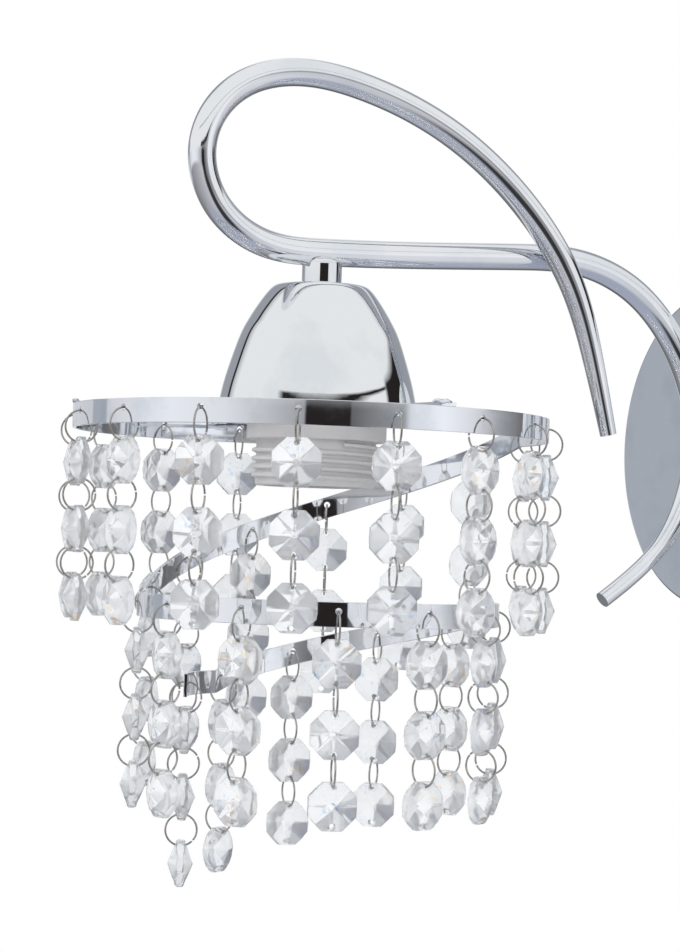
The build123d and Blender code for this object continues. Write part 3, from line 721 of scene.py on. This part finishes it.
def makeCrystalMaster(look):
    turn = pi / 8                        # from a corner to the middle of a side
    cornerRadius = look["flats"] / 2 / cos(turn)
    deselect()
    bpy.ops.mesh.primitive_cylinder_add(vertices=16, radius=cornerRadius, depth=look["corner"],
                                        end_fill_type="TRIFAN", location=(0, 0, 0), rotation=(pi / 2, 0, 0))
    piece = bpy.context.object
    bpy.ops.object.transform_apply(location=True, rotation=True, scale=True)
    slope = (look["apex"] - look["corner"]) / 2 / cornerRadius
    for vertex in piece.data.vertices:
        x, y, z = vertex.co
        side = 1 if y > 0 else -1
        if Vector((x, z)).length < cornerRadius / 2:   # the middle point of either face
            vertex.co = (0, side * look["apex"] / 2, 0)
            continue
        sixteenth = round(atan2(z, x) / turn)
        if sixteenth % 2 == 0:           # middle of a side, pulled in and out to the ridge's end
            reach = look["flats"] / 2
            half = look["apex"] / 2 - slope * reach * cos(turn)
        else:
            reach, half = cornerRadius, look["corner"] / 2
        vertex.co = (reach * cos(sixteenth * turn), side * half, reach * sin(sixteenth * turn))
    edit(piece)
    bpy.ops.mesh.select_all(action="SELECT")
    bpy.ops.mesh.dissolve_limited(angle_limit=radians(1.0))
    closeEdit()
    applyModifier(piece, "BEVEL", width=look["ridge"], segments=1, limit_method="ANGLE",
                  angle_limit=radians(8))
    for rise in (-look["holes"] / 2, look["holes"] / 2):
        deselect()
        bpy.ops.mesh.primitive_cylinder_add(vertices=14, radius=look["holeRadius"], depth=look["cutReach"],
                                            location=(0, 0, rise), rotation=(pi / 2, 0, 0))
        cutWith(piece, bpy.context.object)
    edit(piece)
    bpy.ops.mesh.select_all(action="SELECT")
    bpy.ops.mesh.normals_make_consistent(inside=False)
    closeEdit()
    return piece


def makeRingMaster(look):
    deselect()                           # a wire circle spun round, left open by the cut
    bpy.ops.mesh.primitive_circle_add(vertices=look["section"], radius=look["wire"], fill_type="NGON",
                                      location=(0, look["radius"], 0))
    piece = bpy.context.object
    edit(piece)
    bpy.ops.mesh.select_all(action="SELECT")
    bpy.ops.mesh.spin(steps=look["around"], angle=radians(360 - look["cut"]), center=(0, 0, 0),
                      axis=(1, 0, 0))
    closeEdit()
    tidyMesh(piece, smoothAngle=50, merge=0.0000005)
    return piece


crystalMaster = makeCrystalMaster(crystal)
ringMaster = makeRingMaster(wireRing)


def makeStrands(joints):
    pitch = 2 * wireRing["radius"] + crystal["holes"] - 2 * wireRing["seat"]
    for joint in joints:
        body = joint["child"]
        number = body.split("_")[1]
        ahead = -Vector(joint["axis"])
        inward = Vector((0, 0, 1)).cross(ahead)
        frameTurn = Matrix((ahead, inward, Vector((0, 0, 1)))).transposed().to_4x4()
        place = Matrix.Translation(joint["pos_m"]) @ frameTurn
        place = place @ Matrix.Rotation(radians(random.uniform(-1, 1) * strandTwist["whole"]), 4, "Z")
        stones, rings = [], []
        for step in range(crystal["perStrand"]):
            ringZ = -wireRing["radius"] - step * pitch
            stoneZ = ringZ - wireRing["radius"] + wireRing["seat"] - crystal["holes"] / 2
            twist = Matrix.Rotation(radians(random.uniform(-1, 1) * strandTwist["each"]), 4, "Z")
            turn = Matrix.Rotation(radians(random.uniform(-1, 1) * strandTwist["ring"]), 4, "X")
            rings.append(copyTo(ringMaster, place @ Matrix.Translation((0, 0, ringZ)) @ turn))
            stones.append(copyTo(crystalMaster, place @ Matrix.Translation((0, 0, stoneZ)) @ twist))
        dress(joined(stones), "crystals_" + number, glass, body, [body])
        dress(joined(rings), "rings_" + number, wireSteel, body)


makeStrands(frame["joints"])
for master in (crystalMaster, ringMaster):
    bpy.data.objects.remove(master)
print("strands made")


keptFinishes = {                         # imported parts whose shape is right, and the finish each gets
    "arm_boss": chrome, "canopy_screws": chrome, "ring_nut": plastic, "spider": stripChrome,
    "arm_nut": brass, "arm_washer": zinc, "bell_nut": brass, "lamp_nipple": zinc, "crossbar": zinc,
    "earth_lug": brass, "earth_screw": brass, "terminal_block": terminalWhite,
    "terminal_sleeves": brass, "terminal_screws": zinc, "contact_plate": ceramic,
    "lamp_shell": nickel, "centre_contact": brass, "live_lead": leadBrown, "neutral_lead": leadBlue,
    "earth_lead": leadEarth,
}
for node, material in keptFinishes.items():
    data = frame["nodes"][node].data
    data.materials.clear()
    data.materials.append(material)
print("packed parts finished")

# the floor and room that the camera, chrome and glass see; turns in degrees, 0 at the camera
studio = {
    "floorZ": -0.42, "floorRadius": 1.6, "floorColour": (0.86, 0.86, 0.87), "floorRough": 0.8,
    "floorFade": 0.35, "fadeFrom": (0.75, 1.0), "paintedShadowReach": (0.5, 0.3), "ambient": 0.55,
    "tint": (0.97, 0.985, 1.03),
    "clearFloor": (1.08, 1.09, 1.10), "clearRoom": (1.16, 1.17, 1.18), "clearShade": (0.08, 0.10, 0.15),
    "ceiling": (0.88, 0.90, 0.905), "flag": (0.34, 0.36, 0.40), "card": (0.41, 0.445, 0.495),
    # the next line ends with the painted shadow's tone on the floor that chrome and glass mirror
    "dark": (0.022, 0.018, 0.018), "paintedShadowTone": (0.42, 0.45, 0.54),
    "window": (-2, 19, 1), "wallTop": (0.09, 0.06), "groundTop": (-0.11, 0.06),
    "flags": ((124, 168, 16), (-0.5, 0.8, 0.1)), "shade": ((-172, -118, 24), (-0.15, 0.62, 0.2)),
    "rail": ((-46, 94, 8), (0.357, 0.375, 0.012)), "railFall": 0.066,
    "upperBoards": [                     # turn and its softness, height and its softness, tone
        ((-133, -128, 2), (0.1, 0.75, 0.1), "dark"), ((129, 133, 3), (0.1, 0.85, 0.1), "flag"),
        ((93, 127, 5), (0.0, 0.40, 0.05), "dark")],
    "lowerBoards": [
        ((-11, 38, 2), (0.09, 0.145, 0.01), "dark"), ((-127, -113, 2), (-0.2, 0.2, 0.05), "card")],
    "ground": [                          # turn from the camera in degrees, brightness below eye level
        (-180, 0.12), (-120, 0.26), (-60, 0.42), (-4, 0.60), (5, 0.04), (24, 0.04), (34, 0.60),
        (56, 0.80), (90, 0.70), (130, 0.26), (180, 0.12)],
    "walls": [                           # turn from the camera in degrees, brightness at eye level
        (-180, 0.75), (-125, 0.66), (-68, 0.95), (-40, 0.85), (-2, 0.38), (20, 0.15), (45, 0.40),
        (48, 0.92), (66, 1.0), (82, 0.82), (98, 0.48), (118, 0.20), (135, 0.14), (152, 0.5),
        (180, 0.75)],
}


def shareAlong(direction, way):
    return direction.node("ShaderNodeVectorMath", {"operation": "DOT_PRODUCT"},
                          {0: direction, 1: way}, "Value")


def towardsCamera(direction):
    turn = radians(photoCamera["azimuth"])
    return shareAlong(direction, (sin(turn), -cos(turn), 0))


def turnFromCamera(direction):           # degrees round the lamp, 0 at the camera, right positive
    turn = radians(photoCamera["azimuth"])
    toRight = shareAlong(direction, (cos(turn), sin(turn), 0))
    return toRight.maths("ARCTAN2", toRight, towardsCamera(direction)) * (180 / pi)


def tonesRound(around, tones, tint):
    stops = [(0.5 + angle / 360, tuple(light * tone for tone in tint)) for angle, light in tones]
    return around.node("ShaderNodeValToRGB", {"stops": stops}, {0: around * (1 / 360) + 0.5})


def makeFloor(look):
    deselect()
    bpy.ops.mesh.primitive_circle_add(vertices=96, radius=look["floorRadius"], fill_type="NGON",
                                      location=(0, lampAxis.y, look["floorZ"]))
    floor = bpy.context.object
    floor.name = "floorDisc"
    material = bpy.data.materials.new("paleFloor")
    material.use_nodes = True
    tree = material.node_tree
    shader = tree.nodes["Principled BSDF"]
    shader.inputs["Base Color"].default_value = (*look["floorColour"], 1)
    shader.inputs["Roughness"].default_value = look["floorRough"]
    start = Signal(tree)
    place = start.node("ShaderNodeTexCoord", {}, {}, "Object")
    away = place.node("ShaderNodeVectorMath", {"operation": "LENGTH"}, {0: place}, "Value")
    camera = start.node("ShaderNodeLightPath", {}, {}, "Is Camera Ray")
    white = start.node("ShaderNodeEmission", {}, {"Color": (1, 1, 1, 1), "Strength": 1.0})
    nearShare = look["floorFade"]        # how white the floor shows under the lamp
    fade = (nearShare + (1 - nearShare) * away.above(*look["fadeFrom"])) * camera
    mixed = start.node("ShaderNodeMixShader", {},
                       {0: fade, 1: Signal(tree, shader.outputs[0]), 2: white})
    glossyFloor = tonesRound(turnFromCamera(place), look["ground"], look["tint"])
    # painted shadow: the floor that chrome and glass mirror turns darker towards its middle, under the
    # sconce
    glossyFloor = away.below(*look["paintedShadowReach"]).blend(glossyFloor, look["paintedShadowTone"])
    clear = start.node("ShaderNodeLightPath", {}, {}, "Is Transmission Ray")
    glossy = start.node("ShaderNodeLightPath", {}, {}, "Is Glossy Ray")
    seen = start.node("ShaderNodeEmission", {}, {"Color": clear.blend(glossyFloor, look["clearFloor"])})
    mixed = start.node("ShaderNodeMixShader", {}, {0: (glossy + clear).clamp(), 1: mixed, 2: seen})
    tree.links.new(mixed.socket, tree.nodes["Material Output"].inputs["Surface"])
    floor.data.materials.append(material)


def withBoards(room, around, height, look, boards):
    for turn, rise, tone in look[boards]:
        room = (around.band(*turn) * height.band(*rise)).blend(room, look[tone])
    return room


def makeRoom(look):
    world = bpy.data.worlds.new("paleRoom")
    bpy.context.scene.world = world
    world.use_nodes = True
    tree = world.node_tree
    backdrop = tree.nodes["Background"]
    start = Signal(tree)
    direction = start.node("ShaderNodeTexCoord", {}, {}, "Generated")
    around = turnFromCamera(direction)
    front = towardsCamera(direction)
    height = direction.axis(2)
    sideways = around.maths("ABSOLUTE", around)
    walls = tonesRound(around, look["walls"], look["tint"])
    walls = around.band(*look["window"]).blend(walls, look["dark"])
    ground = tonesRound(around, look["ground"], look["tint"])
    turn, rise = look["flags"]
    room = (sideways.band(*turn) * height.band(*rise)).blend(look["ceiling"], look["flag"])
    room = withBoards(room, around, height, look, "upperBoards")
    turn, rise = look["rail"]
    rail = (height - front * look["railFall"]).band(*rise) * around.band(*turn)
    room = rail.blend(room, look["dark"])
    room = height.below(*look["wallTop"]).blend(room, walls)
    room = height.below(*look["groundTop"]).blend(room, ground)
    room = withBoards(room, around, height, look, "lowerBoards")
    turn, rise = look["shade"]
    shade = around.band(*turn) * height.band(*rise)
    clearRoom = shade.blend(look["clearRoom"], look["clearShade"])
    rays = tree.nodes.new("ShaderNodeLightPath")
    camera = Signal(tree, rays.outputs["Is Camera Ray"])
    seen = Signal(tree, rays.outputs["Is Glossy Ray"]).blend((look["ambient"],) * 3, room)
    seen = Signal(tree, rays.outputs["Is Transmission Ray"]).blend(seen, clearRoom)
    seen = camera.blend(seen, (1, 1, 1))
    tree.links.new(seen.socket, backdrop.inputs["Color"])
    backdrop.inputs["Strength"].default_value = 1.0


softLamps = {
    "keyLamp": {"spot": (-0.6, -1.5, 1.3), "size": 0.9, "power": 14.0},
    "fillLamp": {"spot": (1.6, -0.9, 0.5), "size": 1.0, "power": 7.0},
    "rimLamp": {"spot": (-0.9, 0.9, 1.0), "size": 0.8, "power": 7.0},
}


def makeLamps(lamps):
    for name, look in lamps.items():
        lamp = bpy.data.lights.new(name, "AREA")
        lamp.shape, lamp.size, lamp.energy = "SQUARE", look["size"], look["power"]
        holder = bpy.data.objects.new(name, lamp)
        bpy.context.scene.collection.objects.link(holder)
        holder.location = look["spot"]
        aim = lampAxis - Vector(look["spot"])
        holder.rotation_euler = aim.to_track_quat("-Z", "Y").to_euler()
        holder.visible_glossy = holder.visible_transmission = False   # not seen in chrome or glass


makeFloor(studio)
makeRoom(studio)
makeLamps(softLamps)
bpy.context.scene.view_settings.view_transform = "Standard"
print("studio made")
